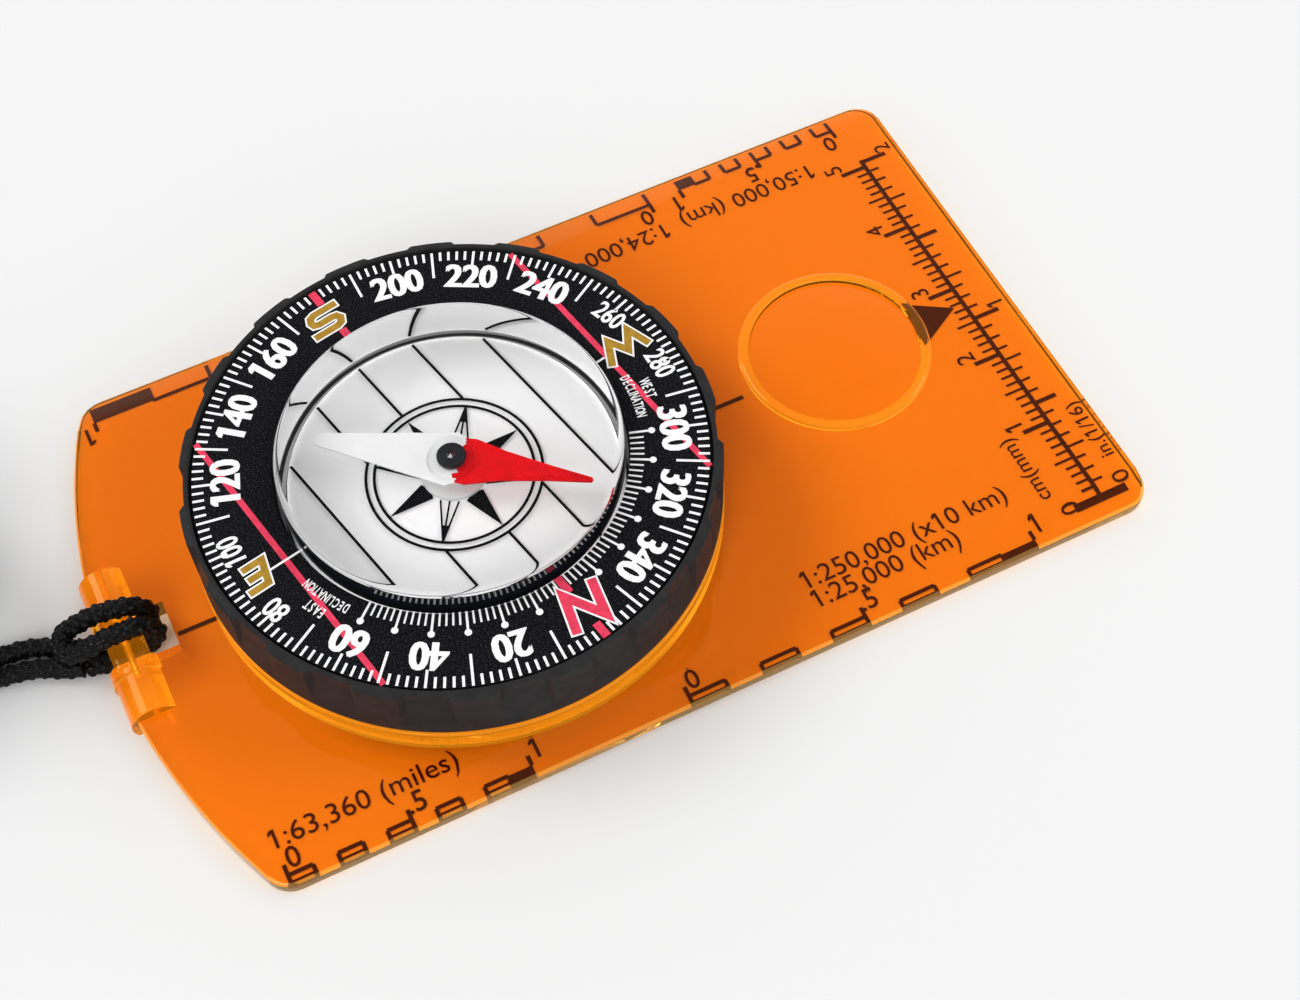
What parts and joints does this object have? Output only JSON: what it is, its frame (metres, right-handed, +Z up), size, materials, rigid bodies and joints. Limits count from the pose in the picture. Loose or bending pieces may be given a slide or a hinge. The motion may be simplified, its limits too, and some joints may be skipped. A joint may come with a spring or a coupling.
{
  "type": "baseplate compass",
  "caption": "See-through orange baseplate compass with a turning black bezel, a clear liquid capsule, a red magnetic needle, a magnifier and a lanyard cord.",
  "frame": {"origin": "middle of the plate's outline, on its underside", "axes": "+Y is the direction of travel, toward the ruler end; +Z is up, out of the plate's printed face; +X completes the right-handed frame"},
  "size_m": [0.0628, 0.1432, 0.0151],
  "materials": {
    "orange_acrylic": "clear tinted, polished",
    "black_plastic": "satin",
    "dial_black": "fine texture",
    "clear_acrylic": "clear, polished",
    "white_plastic": "smooth",
    "needle_red": "red half and white half, printed",
    "hub_black": "smooth",
    "jewel_clear": "polished",
    "steel": "bright",
    "cord_black": "braided",
    "tie_black": "woven tape"
  },
  "bodies": {
    "base": {"baseplate": "orange_acrylic", "lanyard_pin": "steel", "retaining_ring": "black_plastic", "lanyard_hitch": "cord_black", "lanyard_strand_a": "cord_black", "lanyard_strand_b": "cord_black", "lanyard_coil": "cord_black", "lanyard_knot": "cord_black", "coil_tie": "tie_black"},
    "bezel": {"bezel_ring": "black_plastic", "dial_ring": "dial_black", "capsule_cup": "clear_acrylic", "capsule_lid": "clear_acrylic", "fill_plug": "white_plastic", "rose_disc": "white_plastic", "pivot_post": "white_plastic", "pivot_pin": "steel"},
    "needle": {"needle": "needle_red", "hub_cap": "hub_black", "jewel_bearing": "jewel_clear"}
  },
  "joints": [
    {"name": "bezel_spin", "type": "hinge", "parent": "base", "child": "bezel", "pos_m": [0, -0.013, 0.009], "axis": [0, 0, 1], "continuous": true},
    {"name": "needle_spin", "type": "hinge", "parent": "bezel", "child": "needle", "pos_m": [0, -0.013, 0.0101], "axis": [0, 0, 1], "continuous": true}
  ]
}
